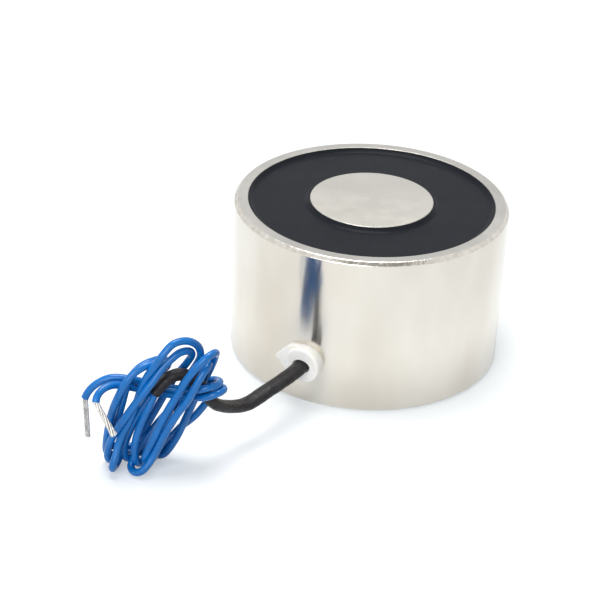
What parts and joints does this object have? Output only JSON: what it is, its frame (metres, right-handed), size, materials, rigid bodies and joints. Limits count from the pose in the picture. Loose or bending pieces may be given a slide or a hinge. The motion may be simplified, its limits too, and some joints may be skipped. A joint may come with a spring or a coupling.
{
  "type": "holding electromagnet",
  "caption": "Round steel pot electromagnet with a centre pole, potted coil, tapped hole in the back and a pair of lead wires leaving through a side bushing, gathered in a small hank.",
  "frame": {"origin": "centre of the pot's back face, on the axis of the tapped hole", "axes": "+Z along the pot's axis towards the holding face, -Y out through the cable bushing"},
  "size_m": [0.05, 0.0896, 0.03],
  "materials": {
    "nickel_plated_steel": "bright nickel plating, ground holding face",
    "bobbin_nylon": "moulded",
    "enamelled_copper": "enamelled wire",
    "coil_tape": "film tape",
    "blue_insulation": "smooth extruded insulation",
    "black_sleeve": "shrunk sleeve, satin",
    "potting_resin": "cast epoxy",
    "white_nylon": "moulded",
    "tinned_strands": "twisted tinned strands"
  },
  "bodies": {
    "root": {"steel_pot": "nickel_plated_steel", "coil_bobbin": "bobbin_nylon", "coil_winding": "enamelled_copper", "winding_tape": "coil_tape", "inner_lead_a": "blue_insulation", "inner_lead_b": "blue_insulation", "joint_sleeve_a": "black_sleeve", "joint_sleeve_b": "black_sleeve", "potting_resin": "potting_resin", "cable_bushing": "white_nylon", "lead_sleeve": "black_sleeve", "wire_hank": "blue_insulation", "lead_tail_a": "blue_insulation", "lead_tail_b": "blue_insulation", "bare_end_a": "tinned_strands", "bare_end_b": "tinned_strands"}
  },
  "joints": []
}
